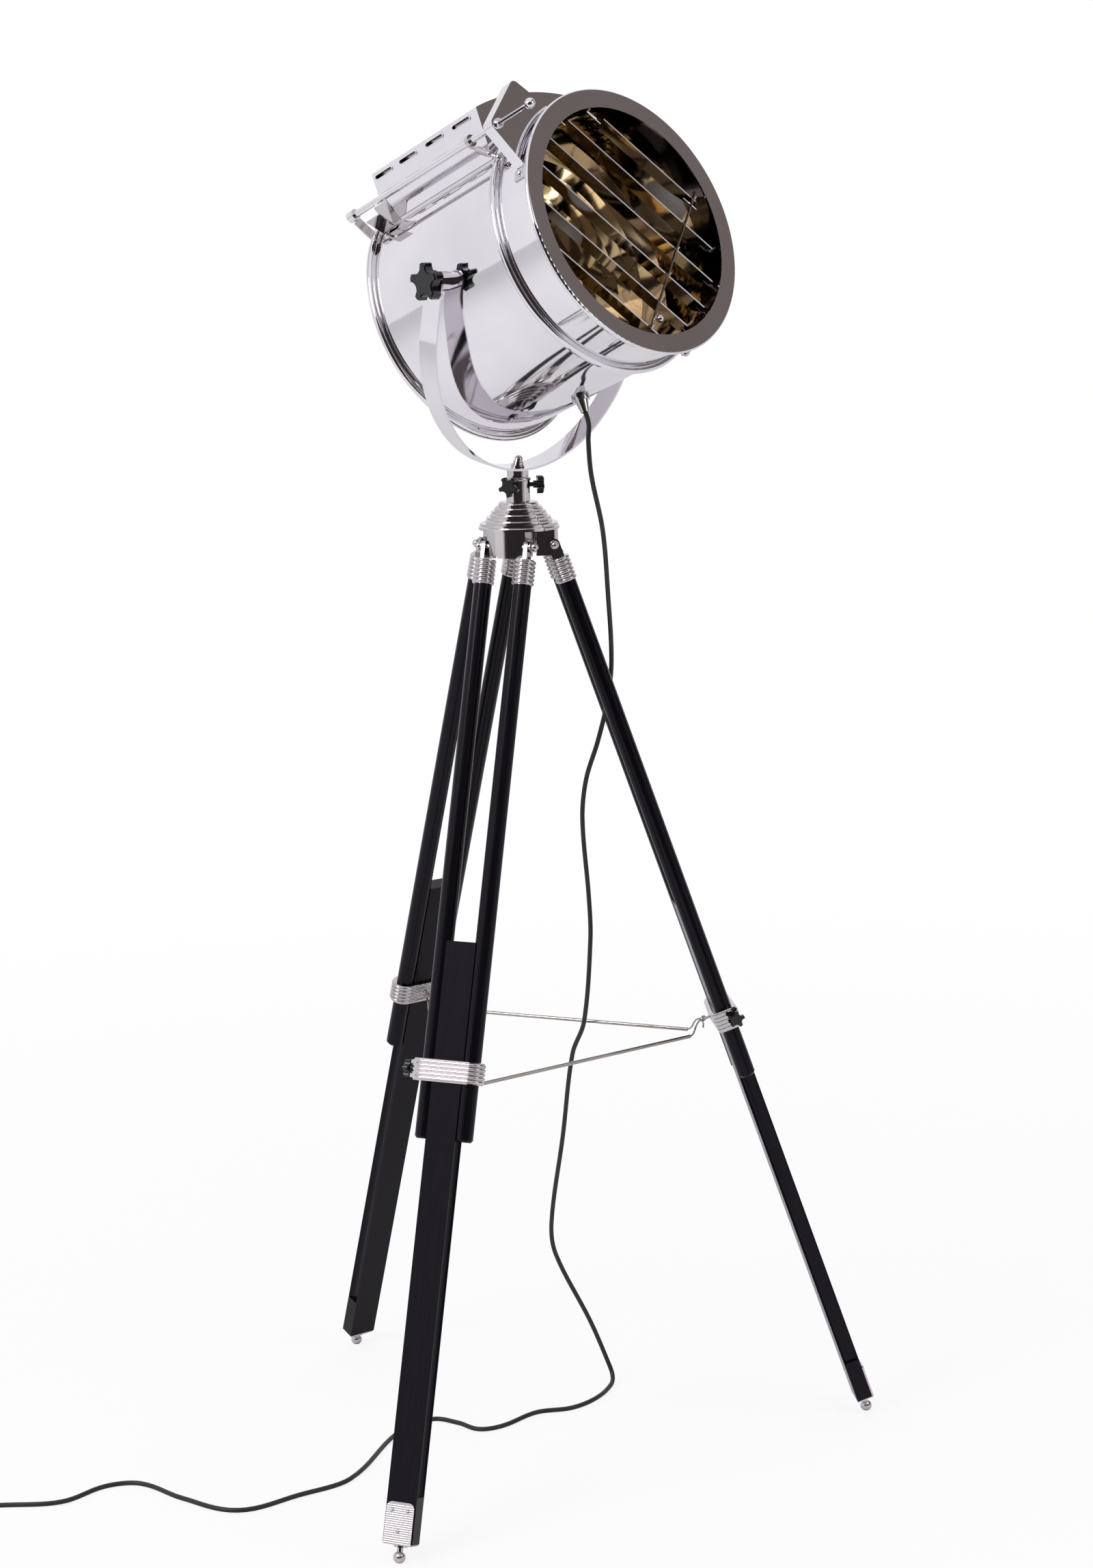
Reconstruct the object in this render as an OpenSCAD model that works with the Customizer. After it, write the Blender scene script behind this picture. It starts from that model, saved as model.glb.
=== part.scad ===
// Tripod spotlight floor lamp, in millimetres, +Z up, standing on the floor at z = 0.
// The pan axis is vertical and stands at axis_x, axis_y, so that the footprint is centred.
// Legs, rods, knobs and slats repeat, so each kind has one module with parameters.

/* [Tripod] */
// Height of the leg hinges above the floor
hinge_h = 1257; // [1150:1:1350]
// Distance of the leg hinges from the pan axis
hinge_r = 42.4; // [41:0.2:46]
// Distance of the feet from the pan axis
foot_r = 466; // [430:1:480]
// Direction of leg C, counted from +X
leg_turn = 6.5; // [0:0.5:12]
// Distance between the two dowels of a leg
dowel_gap = 57; // [55:0.5:60]
// Diameter of a dowel
dowel_d = 24; // [22:0.5:25]
// How far down the leg a dowel ends
dowel_end = 787; // [770:1:800]
// Width of the sliding board
board_w = 42; // [40:0.5:43]
// Thickness of the sliding board
board_t = 22; // [21:0.5:23]
// How far down the leg the board begins
board_top = 528; // [500:1:560]
// How far down the leg the middle of the clamp sits
clamp_at = 698; // [680:1:710]
// Height of the clamp along the leg
clamp_h = 29; // [26:1:32]

/* [Hub] */
// Radius of the base plate of the hub
hub_r = 54; // [52:1:58]
// Height of the underside of the hub above the hinges
hub_rise = 20; // [18:1:24]
// Radius of the neck socket
neck_r = 16; // [15:0.5:18]
// Height of the top of the neck socket above the hinges
neck_top = 88; // [84:1:92]
// Height of the underside of the yoke strap above the hinges
yoke_rise = 100; // [98:1:106]

/* [Yoke] */
// Radius of the yoke's arc, to the middle of the strap
yoke_r = 190; // [187:0.5:193]
// Height of the tilt pivot above the foot of the yoke
yoke_h = 258; // [254:1:264]
// Width of the strap
strap_w = 30; // [24:1:32]
// Thickness of the strap
strap_t = 3; // [2:0.5:4]
// Forward lean of the yoke
yoke_lean = 10.5; // [8:0.5:12]

/* [Head] */
// Direction in which the head faces, counted from +X
head_pan = -44.5; // [-60:0.5:-30]
// Upward tilt of the head
head_tilt = 22.5; // [18:0.5:28]
// Outer radius of the drum
drum_r = 171; // [168:0.5:172]
// Wall of the drum
drum_wall = 2; // [1.5:0.5:3]
// Outer radius of the bezel and of the two bead rings
bead_r = 180; // [178:0.5:181]
// Radius of the bezel's opening
open_r = 154; // [150:1:158]
// Distance of the bezel's face in front of the tilt pivot
face_x = 185; // [180:1:195]
// Distance of the front bead ring in front of the tilt pivot
front_bead_x = 115; // [110:1:120]
// Distance of the rear bead ring from the tilt pivot
rear_bead_x = -133; // [-138:1:-128]

/* [Louvres] */
// Distance between the slats
slat_pitch = 46.3; // [45:0.1:47]
// Width of a slat
slat_w = 43; // [40:0.5:43]
// Thickness of a slat
slat_t = 1.6; // [1.2:0.1:2]
// Angle of the slats to the drum's axis
slat_open = 30; // [25:1:40]
// Distance of the slats' pivots behind the bezel's face
slat_back = 29.5; // [29:0.5:33]

/* [Hidden] */
$fn = 48;

// Place of the pan axis
axis_x = -86.5;
axis_y = 24.5;

// Directions of the legs A, B and C
LEG_DIR = [leg_turn - 120, leg_turn + 120, leg_turn];

// Radius of a foot ball, and how much of it is cut flat against the floor
ball_r = 8;
ball_flat = 1.2;
ball_z = ball_r - ball_flat;

// Slope and length of a leg, from its hinge to its foot ball
leg_slope = atan((foot_r - hinge_r) / (hinge_h - ball_z));
leg_len = sqrt(pow(foot_r - hinge_r, 2) + pow(hinge_h - ball_z, 2));

chrome = [0.82, 0.81, 0.83];
black = [0.08, 0.08, 0.09];
wood = [0.10, 0.09, 0.10];
warm = [0.86, 0.72, 0.45];

running = 0.05;     // radial play of a pin in its hole
clear = 0.4;        // gap between pieces that pass each other

// ---------------------------------------------------------------- places

module at_axis() translate([axis_x, axis_y, 0]) children();

// Leg frame: X outwards from the pan axis, Y round it, Z up
module at_leg(dir) at_axis() rotate([0, 0, dir]) children();

// Sloped leg frame: origin at the hinge, -Z down the leg, X out of its outer face
module down_leg(dir)
    at_leg(dir) translate([hinge_r, 0, hinge_h]) rotate([0, -leg_slope, 0]) children();

// Yoke frame: origin at the foot of the strap, X forwards, Z up the leaning yoke
module at_yoke()
    at_axis() translate([0, 0, hinge_h + yoke_rise]) rotate([0, 0, head_pan])
        rotate([0, yoke_lean, 0]) children();

// Head frame: origin at the tilt pivot, X forwards along the drum, Z up across it
module at_head()
    at_yoke() translate([0, 0, yoke_h]) rotate([0, -yoke_lean - head_tilt, 0]) children();

// Louvre frame: origin on the drum's axis at the slats' pivots, Y along the slats
module at_louvre()
    at_head() translate([face_x - slat_back, 0, 0]) rotate([-louvre_turn, 0, 0]) children();

// ---------------------------------------------------------------- common shapes

// A round bar from p to q, with a ball at each end if round is true
module bar(p, q, d, round = true) {
    v = q - p;
    len = norm(v);
    translate(p) rotate([0, acos(v[2] / len), atan2(v[1], v[0])]) cylinder(d = d, h = len, $fn = 24);
    if (round) {
        translate(p) sphere(d = d, $fn = 24);
        translate(q) sphere(d = d, $fn = 24);
    }
}

// A bent wire along the given points
module wire(points, d) sweep(curve(points, 4), d / 2, 10);

function unit(v) = v / norm(v);
function square_to(v, dir) = unit(v - (v * dir) * dir);

// Direction of a path at each of its points
function path_dirs(p) =
    [for (i = [0:len(p) - 1]) unit(p[min(i + 1, len(p) - 1)] - p[max(i - 1, 0)])];

// Point of the smooth curve from a to b, with directions da and db there
function between(a, b, da, db, t) =
    let (len = norm(b - a))
    (2 * pow(t, 3) - 3 * t * t + 1) * a + (pow(t, 3) - 2 * t * t + t) * len * da
    + (3 * t * t - 2 * pow(t, 3)) * b + (pow(t, 3) - t * t) * len * db;

// Smooth curve through all points, with the given number of steps from each to the next
function curve(p, steps) =
    let (dirs = path_dirs(p))
    concat([for (i = [0:len(p) - 2], j = [0:steps - 1])
        between(p[i], p[i + 1], dirs[i], dirs[i + 1], j / steps)], [p[len(p) - 1]]);

// Side direction at each point of a path, carried along it without twist
function path_sides(dirs, first) =
    [for (i = 0, side = square_to(first, dirs[0]); i < len(dirs);
        i = i + 1, side = square_to(side, dirs[min(i, len(dirs) - 1)])) side];

// A tube along a path, closed at both ends
module sweep(p, r, sides) {
    dirs = path_dirs(p);
    across = path_sides(dirs, abs(dirs[0][0]) < 0.7 ? [1, 0, 0] : [0, 1, 0]);
    last = (len(p) - 1) * sides;
    points = [for (i = [0:len(p) - 1], k = [0:sides - 1]) let (a = 360 * k / sides)
        p[i] + r * (cos(a) * across[i] + sin(a) * cross(dirs[i], across[i]))];
    walls = [for (i = [0:len(p) - 2], k = [0:sides - 1], half = [0, 1])
        let (a = i * sides + k, b = i * sides + (k + 1) % sides)
        half == 0 ? [a, a + sides, b + sides] : [a, b + sides, b]];
    ends = [[for (k = [0:sides - 1]) k], [for (k = [sides - 1:-1:0]) last + k]];
    polyhedron(points = points, faces = concat(walls, ends), convexity = 10);
}

// A flat ring on the Z axis
module washer(r, hole, h) difference() {
    cylinder(r = r, h = h);
    translate([0, 0, -1]) cylinder(r = hole, h = h + 2);
}

// A round-headed screw standing on the Z axis
module screw_head(r, h) rotate_extrude($fn = 32)
    intersection() {
        translate([0, h - (r * r + h * h) / (2 * h)]) circle(r = (r * r + h * h) / (2 * h));
        square([r, h]);
    }

// A star knob of five lobes on the Z axis, its hub on the plane z = 0
module star_knob(r, head_h, hub_r, hub_h) {
    cylinder(r = hub_r, h = hub_h + 1);
    translate([0, 0, hub_h]) linear_extrude(head_h) star(r);
    translate([0, 0, hub_h + head_h]) linear_extrude(head_h * 0.12) star(r * 0.86);
}

module star(r) difference() {
    union() {
        circle(r = r * 0.74);
        for (i = [0:4]) rotate(72 * i) translate([r * 0.66, 0]) circle(r = r * 0.34);
    }
    for (i = [0:4]) rotate(72 * i + 36) translate([r * 1.05, 0]) circle(r = r * 0.42);
}

// ---------------------------------------------------------------- hub and neck

hub_z = hinge_h + hub_rise;
neck_z = hinge_h + neck_top;
spigot_r = 10;
rod_r = 4;          // hinge rod
lug_half = 27.5;    // half the width of a lug
rod_half = 41;      // half the length of a hinge rod

// Stepped dome: each pair is a radius and the height at which that step begins
HUB_STEPS = [[hub_r, 0], [45, 8], [38.5, 16], [32.5, 24], [27, 30]];
dome_h = 36;

module hub_dome() color(chrome) at_axis() translate([0, 0, hub_z]) difference() {
    rotate_extrude($fn = 96) hub_profile();
    translate([0, 0, -1]) cylinder(r = neck_r + 0.02, h = dome_h + 12);
}

module hub_profile() {
    last = len(HUB_STEPS) - 1;
    for (i = [0:last]) {
        r = HUB_STEPS[i][0];
        z = HUB_STEPS[i][1];
        top = (i == last) ? dome_h : HUB_STEPS[i + 1][1];
        translate([0, z]) square([r - 2, top - z]);
        translate([0, z]) square([r, 3]);
        translate([r - 2, z + 3]) circle(r = 2, $fn = 24);
    }
}

module hub_lugs() color(chrome) at_axis() for (dir = LEG_DIR) rotate([0, 0, dir]) lug();

lug_drop = 15;      // how far a lug reaches below its hinge

module lug() difference() {
    intersection() {
        translate([0, 0, hinge_h - lug_drop]) difference() {
            cylinder(r = hub_r - 2, h = lug_drop + hub_rise, $fn = 96);
            translate([0, 0, -1]) cylinder(r = 27, h = lug_drop + hub_rise + 2);
        }
        translate([20, -lug_half, 0]) cube([40, 2 * lug_half, 2 * hinge_h]);
    }
    translate([hinge_r, 0, hinge_h]) rotate([90, 0, 0])
        cylinder(r = rod_r, h = 100, center = true);
}

// One hinge rod for each leg, with a ball nut on each end
module hinge_rods() color(chrome) for (dir = LEG_DIR)
    at_leg(dir) translate([hinge_r, 0, hinge_h]) rotate([90, 0, 0]) {
        cylinder(r = rod_r, h = 2 * rod_half, center = true);
        for (s = [-1, 1]) translate([0, 0, s * (rod_half - 1)]) {
            sphere(r = 5.6);
            translate([0, 0, s > 0 ? -5.6 : 4]) cylinder(r = 6.6, h = 1.6);
        }
    }

neck_knob_z = hinge_h + 78;     // height of the neck knobs' screws
neck_screw_r = 3;
NECK_DIR = [leg_turn - 120, leg_turn];

module neck_socket() color(chrome) at_axis() difference() {
    union() {
        translate([0, 0, hub_z - 6]) cylinder(r = neck_r, h = neck_z - hub_z + 6);
        translate([0, 0, neck_z - 4]) rotate_extrude() translate([neck_r - 1, 2]) circle(r = 2.4);
        translate([0, 0, hub_z - 6]) cylinder(r = neck_r + 7, h = 6);
    }
    translate([0, 0, hub_z - 7]) cylinder(r = spigot_r + running, h = neck_z - hub_z + 20);
    for (dir = NECK_DIR) rotate([0, 0, dir]) translate([0, 0, neck_knob_z]) rotate([0, 90, 0])
        cylinder(r = neck_screw_r + running, h = 60);
}

// A clamping screw of the neck: threaded stem and small star head
module neck_knob(dir, r) at_axis() rotate([0, 0, dir])
    translate([spigot_r + clear, 0, neck_knob_z]) rotate([0, 90, 0]) {
        color(chrome) cylinder(r = neck_screw_r, h = 16);
        color(black) translate([0, 0, 10]) star_knob(r, 8, 5, 5);
    }

module neck_knob_front() neck_knob(NECK_DIR[0], 14);
module neck_knob_side() neck_knob(NECK_DIR[1], 12.5);

// ---------------------------------------------------------------- yoke

pivot_r = 4;
arm_h = yoke_h - yoke_r;        // height of the pivot above the arc's centre
bolt_r = 4;

module yoke_strap() color(chrome) at_yoke() difference() {
    union() {
        translate([0, 0, yoke_r + strap_t / 2]) rotate([0, 90, 0]) rotate([0, 0, -90])
            rotate_extrude(angle = 180, $fn = 144)
                translate([yoke_r - strap_t / 2, -strap_w / 2]) square([strap_t, strap_w]);
        for (s = [-1, 1]) translate([0, s * yoke_r, 0]) {
            translate([-strap_w / 2, -strap_t / 2, yoke_r + strap_t / 2 - 0.5])
                cube([strap_w, strap_t, arm_h - strap_t / 2 + 0.5]);
            translate([0, 0, yoke_h]) rotate([90, 0, 0])
                cylinder(d = strap_w, h = strap_t, center = true);
        }
    }
    translate([0, 0, yoke_h]) rotate([90, 0, 0])
        cylinder(r = pivot_r + running, h = 3 * yoke_r, center = true);
    translate([0, 0, -10]) cylinder(r = bolt_r, h = 40);
}

// Spigot in the neck, its slanted seat under the strap, and the bolt with its cap above
module yoke_spigot() color(chrome) {
    at_axis() difference() {
        union() {
            translate([0, 0, hub_z + 4]) cylinder(r = spigot_r, h = yoke_rise - hub_rise + 4);
            translate([0, 0, neck_z + 1]) cylinder(r = neck_r - 1.5, h = yoke_rise - neck_top + 4);
        }
        translate([0, 0, hinge_h + yoke_rise]) rotate([0, 0, head_pan]) rotate([0, yoke_lean, 0])
            translate([-50, -50, -0.02]) cube([100, 100, 30]);
    }
    at_yoke() {
        translate([0, 0, -2]) cylinder(r = bolt_r, h = 10);
        translate([0, 0, strap_t + 0.6]) {
            cylinder(r = 9, h = 1.6);
            translate([0, 0, 1.6]) cylinder(r = 7, h = 4);
            translate([0, 0, 5.6]) cylinder(r = 5.6, h = 3);
            translate([0, 0, 8.6]) sphere(r = 5.6);
        }
    }
}

stud_out = yoke_r + strap_t / 2;    // outer face of the strap

// Left and right are those of the lamp itself, looking along its beam
module tilt_knob(side) at_head() translate([0, side * (stud_out + clear), 0])
    rotate([-side * 90, 0, 0]) {
        color(chrome) washer(12, pivot_r + running, 1.6);
        color(black) translate([0, 0, 1.6]) difference() {
            star_knob(25, 12, 10, 3);
            translate([0, 0, -1]) cylinder(r = pivot_r + running, h = 15);
        }
    }

module tilt_knob_left() tilt_knob(1);
module tilt_knob_right() tilt_knob(-1);

// Studs through the yoke, each with a boss against the drum's wall
module pivot_studs() color(chrome) at_head() for (s = [-1, 1]) rotate([-s * 90, 0, 0]) {
    translate([0, 0, drum_r - 1]) cylinder(r = pivot_r, h = stud_out - drum_r + 12);
    difference() {
        translate([0, 0, drum_r - 3]) cylinder(r = 13, h = yoke_r - strap_t / 2 - clear - drum_r + 3);
        rotate([0, 90, 0]) cylinder(r = drum_r + 0.02, h = 60, center = true, $fn = 180);
    }
}

// ---------------------------------------------------------------- drum

// Profile of a turned wall from x0 to x1, revolved about the drum's axis
module turned(fn = 144) at_head() rotate([0, 90, 0]) rotate_extrude($fn = fn) children();

bead_t = 5;         // radius of a bead's section
bead_ring_r = bead_r - bead_t;

module front_collar() color(chrome) turned() {
    translate([drum_r - drum_wall, front_bead_x]) square([drum_wall, face_x - 4 - front_bead_x]);
    translate([bead_ring_r, front_bead_x]) circle(r = bead_t, $fn = 32);
    translate([drum_r - drum_wall, front_bead_x - 4]) square([5, 8]);
}

module drum_shell() color(chrome) difference() {
    turned() {
        translate([drum_r - drum_wall, rear_bead_x]) square([drum_wall, front_bead_x - 4 - rear_bead_x]);
        translate([bead_ring_r, rear_bead_x]) circle(r = bead_t, $fn = 32);
        translate([drum_r - drum_wall, rear_bead_x - 4]) square([5, 8]);
    }
    at_head() {
        // Heat leaves the drum through this window, under the vent housing
        translate([(vent_x0 + vent_x1) / 2, 0, drum_r]) cube([120, 120, 60], center = true);
        // Studs of the tilt pivots
        rotate([90, 0, 0]) cylinder(r = pivot_r, h = 2 * drum_r + 20, center = true);
        // Cord gland
        translate([gland_x, 0, -drum_r]) cylinder(r = gland_r, h = 30, center = true);
    }
}

module bezel() color(chrome) turned() {
    translate([open_r, face_x - 3]) square([bead_r - 3 - open_r, 3]);
    translate([bead_r - 3, face_x - 3]) circle(r = 3, $fn = 32);
}

tab_w = 15;
TAB_DIR = [64, 194, 309];

// Three tabs that hold the bezel on the collar, each with a screw, and one with a round nut
module bezel_tabs() color(chrome) at_head() for (dir = TAB_DIR) rotate([dir, 0, 0]) {
    translate([face_x - 31, -tab_w / 2, drum_r + 0.02]) cube([24.5, tab_w, 2]);
    translate([face_x - 9.5, -tab_w / 2, drum_r + 0.02]) cube([3.2, tab_w, 5.5]);
    translate([face_x - 22, 0, drum_r + 2]) {
        screw_head(4, 3.4);
        if (dir == TAB_DIR[1]) {
            cylinder(r = 6.5, h = 7);
            translate([0, 0, 7]) screw_head(5, 3);
        }
    }
}

louvre_turn = 43;   // turn of the slats about the drum's axis
ring_r = 161;       // inner radius of the louvre ring
ring_wall = 3;
slat_pin_r = 2;

module louvre_ring() color(chrome) difference() {
    turned() {
        translate([ring_r, face_x - slat_back - 14]) square([ring_wall, slat_back + 10.7]);
        translate([ring_r, face_x - slat_back - 14])
            square([drum_r - drum_wall - ring_r - 0.02, 2]);
    }
    at_louvre() for (i = [0:5]) translate([0, 0, slat_z(i)]) rotate([90, 0, 0])
        cylinder(r = slat_pin_r + running, h = 2 * drum_r, center = true);
}

// ---------------------------------------------------------------- louvres

slat_shift = 10.7;      // the pivots sit this far off the middle, so that the open edges are centred
slat_room = 2;          // gap between a slat's end and the ring
link_y = 78.5;          // place of the link bar along the slats
crank_u = slat_w / 2 + 2.1;     // link's pin from the slat's pivot, in the plane of the blade
crank_n = 3.2;          // and off that plane
link_pin_r = 0.9;
ear_t = 1.5;

function slat_z(i) = (i - 2.5) * slat_pitch + slat_shift;
function chord(r, z) = sqrt(max(r * r - z * z, 1));

// A slat: a blade cut to the round of the ring, its pivot pins and the ear of the link
module slat(i) at_louvre() translate([0, 0, slat_z(i)]) {
    z = slat_z(i);
    half = chord(ring_r - slat_room, abs(z) + 8);
    pin_len = chord(ring_r + ring_wall, z) + 0.4;
    for (s = [-1, 1]) color(chrome) rotate([-s * 90, 0, 0])
        translate([0, 0, half - 8]) cylinder(r = slat_pin_r, h = pin_len - half + 8);
    // Plane of the blade: X across it towards the front, Y along it, Z off it
    color(chrome) rotate([0, slat_open, 0]) {
        intersection() {
            translate([-slat_w / 2, -half, -slat_t / 2]) cube([slat_w, 2 * half, slat_t]);
            translate([z, 0, -10]) cylinder(r = ring_r - slat_room, h = 20, $fn = 144);
        }
        translate([slat_w / 2 - 5.5, link_y + 1.5, -slat_t / 2]) cube([9, ear_t, slat_t / 2 + crank_n + 1.4]);
        translate([crank_u, link_y + 1.5 + ear_t, crank_n]) rotate([90, 0, 0])
            cylinder(r = link_pin_r, h = ear_t + 2.4);
    }
}

module slat_1() slat(0);
module slat_2() slat(1);
module slat_3() slat(2);
module slat_4() slat(3);
module slat_5() slat(4);
module slat_6() slat(5);

link_w = 3.2;
link_t = 1.8;
link_end = 3;           // how far the bar goes past its outer pins
ball_up = 13.5;         // place of the ball above the lowest pin
ball_off = [4.5, 6.2];  // and in front of and beside the bar
link_ball_r = 5.2;

// Link bar that joins the slats' ears, with a ball to move it by
module louvre_link() color(chrome) at_louvre() translate([
    crank_u * cos(slat_open) + crank_n * sin(slat_open), link_y,
    crank_n * cos(slat_open) - crank_u * sin(slat_open)]) {
    difference() {
        translate([-link_w / 2, -link_t / 2, slat_z(0) - link_end])
            cube([link_w, link_t, 5 * slat_pitch + 2 * link_end]);
        for (i = [0:5]) translate([0, 0, slat_z(i)]) rotate([90, 0, 0])
            cylinder(r = link_pin_r + running, h = 20, center = true);
    }
    translate([0, 0, slat_z(0) + ball_up]) {
        bar([0, 0, 0], [ball_off[0], ball_off[1], 0], 2.4, false);
        translate([ball_off[0], ball_off[1], 0]) sphere(r = link_ball_r);
    }
}

// ---------------------------------------------------------------- inside the drum

module reflector() color(warm) turned(96) difference() {
    union() {
        reflector_shape(0);
        translate([reflector_r - 10, reflector_x - reflector_t])
            square([drum_r - drum_wall - 0.02 - reflector_r + 10, reflector_t]);
    }
    reflector_shape(reflector_t);
    translate([-1, -200]) square([24, 400]);
}

reflector_x = 40;       // front edge of the reflector
reflector_r = 150;
reflector_depth = 120;
reflector_t = 1.6;

// Parabola from the rear hole to the front edge, drawn as a solid of revolution
module reflector_shape(inset) polygon(concat(
    [for (i = [0:16]) let (t = i / 16)
        [reflector_r * t - inset * 0.7 * t, reflector_x - reflector_depth * (1 - t * t) + inset]],
    [[0, reflector_x + inset * 2]]));

module lamp_holder() color(black) turned(48) {
    translate([0, rear_bead_x + 2]) square([20, 36]);
    translate([0, rear_bead_x + 38]) square([24, 8]);
    translate([15, rear_bead_x + 46]) square([5, 14]);
}

module bulb() color([0.95, 0.93, 0.85]) turned(48) intersection() {
    translate([0, rear_bead_x + 46]) square([40, 200]);
    union() {
        translate([0, rear_bead_x + 46]) square([13, 36]);
        translate([0, rear_bead_x + 108]) circle(r = 32);
        polygon([[0, rear_bead_x + 70], [13, rear_bead_x + 74], [27, rear_bead_x + 92],
            [0, rear_bead_x + 110]]);
    }
}

module rear_cover() color(chrome) turned() {
    difference() {
        union() {
            translate([0, rear_bead_x - 8]) square([drum_r - drum_wall - 0.02, 8.2]);
            translate([0, rear_bead_x - 16]) square([132, 9]);
            translate([0, rear_bead_x - 22]) square([96, 7]);
            translate([0, rear_bead_x - 27]) square([40, 6]);
        }
        translate([-1, rear_bead_x - 5.5]) square([drum_r - drum_wall - 3, 8]);
        translate([-1, rear_bead_x - 13.5]) square([130, 9]);
        translate([-1, rear_bead_x - 19.5]) square([94, 7]);
    }
    translate([0, rear_bead_x - 24]) square([20, 26]);
}

// ---------------------------------------------------------------- vent housing

vent_x0 = -122;     // rear end
vent_x1 = 91;       // front end
vent_half = 116;    // half its width
vent_side_z = 197;  // height at which the side walls meet the top
vent_top_z = 217;   // height of the top in the middle
vent_wall = 1.6;
slot_len = 38;
slot_h = 10;
SLOT_X = [58, 4, -50, -100];
SLOT_Z = [190, 165];

// Radius of the top's arc through both upper edges and the middle
vent_arc = (pow(vent_half, 2) + pow(vent_top_z - vent_side_z, 2)) / (2 * (vent_top_z - vent_side_z));

module vent_outline(inset) intersection() {
    translate([-vent_half + inset, 60]) square([2 * (vent_half - inset), 200]);
    translate([0, vent_top_z - vent_arc]) circle(r = vent_arc - inset, $fn = 240);
}

module vent_prism(x0, x1, inset) translate([x0, 0, 0]) rotate([90, 0, 90])
    linear_extrude(x1 - x0) vent_outline(inset);

module vent_housing() color(chrome) at_head() {
    difference() {
        vent_prism(vent_x0, vent_x1, 0);
        vent_prism(vent_x0 + vent_wall, vent_x1 - vent_wall, vent_wall);
        rotate([0, 90, 0]) cylinder(r = drum_r + 0.3, h = 600, center = true, $fn = 180);
        for (x = SLOT_X, z = SLOT_Z) translate([x, 0, z]) rotate([90, 0, 0]) slot(400, 0);
    }
    // Pressed hoods over the slots
    for (s = [-1, 1], x = SLOT_X, z = SLOT_Z)
        translate([x, s * (vent_half - 0.8), z]) rotate([90, 0, 0]) slot_hood();
}

module slot(h, grow) linear_extrude(h, center = true) {
    square([slot_len - slot_h + 2 * grow, slot_h - 4 + 2 * grow], center = true);
    for (s = [-1, 1]) translate([s * (slot_len - slot_h) / 2, 0])
        circle(r = (slot_h - 4) / 2 + grow, $fn = 24);
}

module slot_hood() difference() {
    slot(3, 1.6);
    translate([0, -1.2, 0]) slot(8, 0);
}

// ---------------------------------------------------------------- bracket, rail and stays

rail_dir = 42.5;          // turn of the rail from the top of the drum towards the right side
rail_rad = 207;         // distance of the rail from the drum's axis
rail_d = 9;
plate_x = 171;          // front face of the bracket plate
plate_t = 1.6;
plate_top_r = 230;
plate_foot = 107;       // width of the plate at the drum
plate_head = 90;        // width of its outer edge
plate_round = 9;        // radius of its outer corners
flange = 16;

module at_rail() at_head() rotate([rail_dir, 0, 0]) children();

module plate_outline() hull() {
    translate([-plate_foot / 2, 160]) square([plate_foot, 2]);
    for (s = [-1, 1]) translate([s * (plate_head / 2 - plate_round), plate_top_r - plate_round])
        circle(r = plate_round, $fn = 32);
}

// Folded plate that carries the front end of the rail
module bracket_plate() color(chrome) at_rail() difference() {
    translate([plate_x, 0, 0]) rotate([90, 0, 90]) translate([0, 0, -flange]) difference() {
        linear_extrude(flange) plate_outline();
        translate([0, 0, -1]) linear_extrude(flange - plate_t + 1)
            offset(delta = -plate_t) plate_outline();
    }
    rotate([0, 90, 0]) cylinder(r = drum_r + 0.3, h = 600, center = true, $fn = 180);
    translate([plate_x, 0, rail_rad]) rotate([0, 90, 0])
        cylinder(r = rail_d / 2 - 1.5, h = 60, center = true);
}

strap_foot_r = 150;     // how near the drum's axis the rear strap ends
rail_x0 = -154;         // rear end of the rail

// Carrying rail with its rear cap and the ball-ended screw through the bracket
module rail() color(chrome) at_rail() translate([0, 0, rail_rad]) rotate([0, 90, 0]) {
    translate([0, 0, rail_x0]) cylinder(d = rail_d, h = plate_x - plate_t - rail_x0);
    translate([0, 0, rail_x0 - 6]) cylinder(d = 15, h = 12);
    translate([0, 0, plate_x - plate_t - 1]) cylinder(r = rail_d / 2 - 1.5, h = 30);
    translate([0, 0, plate_x + 30]) sphere(r = 7);
}

// Rear strap, rear bracket with its wire clip, front stay and the thin rod on the drum
module rail_stays() color(chrome) at_rail() {
    // Flat strap from the rail's cap down behind the rear bead
    translate([rail_x0 - 3, -7, strap_foot_r]) cube([2, 14, rail_rad - strap_foot_r - 7.6]);
    translate([rail_x0 - 3, -7, strap_foot_r]) cube([16, 14, 2]);
    // Folded bracket near the rear bead, beside the vent housing's wall
    translate([-118, -13, drum_r + 0.02]) {
        translate([0, -9, 0]) cube([26, 18, 1.6]);
        for (s = [-1, 1]) translate([0, s * 7, 0.5]) rotate([-s * 14, 0, 0])
            translate([0, -1, 0]) cube([26, 2, 30]);
    }
    // Front stay: collar on the rail, barrel, and ball against the front bead
    translate([83, 0, rail_rad]) rotate([0, 90, 0]) washer(8, rail_d / 2 + 0.02, 6);
    wire([[86, -8, rail_rad - 3], [98, -14, rail_rad - 10], [122, -24, drum_r + 8]], 4);
    bar([98, -14, rail_rad - 10], [112, -20, drum_r + 16], 9);
    translate([123.5, -25, drum_r + 7.6]) sphere(r = 5);
    // Thin rod along the drum
    wire([[-103, rod_y, drum_r - 2], [-102, rod_y, drum_r + 3], [-94, rod_y, drum_r + 6],
        [0, rod_y, drum_r + 6], [109.6, rod_y, drum_r + 6]], 3.4);
}

rod_y = -30;            // place of the thin rod beside the rail

// ---------------------------------------------------------------- cord gland

gland_x = 6;            // place of the gland along the drum
gland_r = 7;

gland_len = 21;
gland_bore_r = 4.2;

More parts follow.
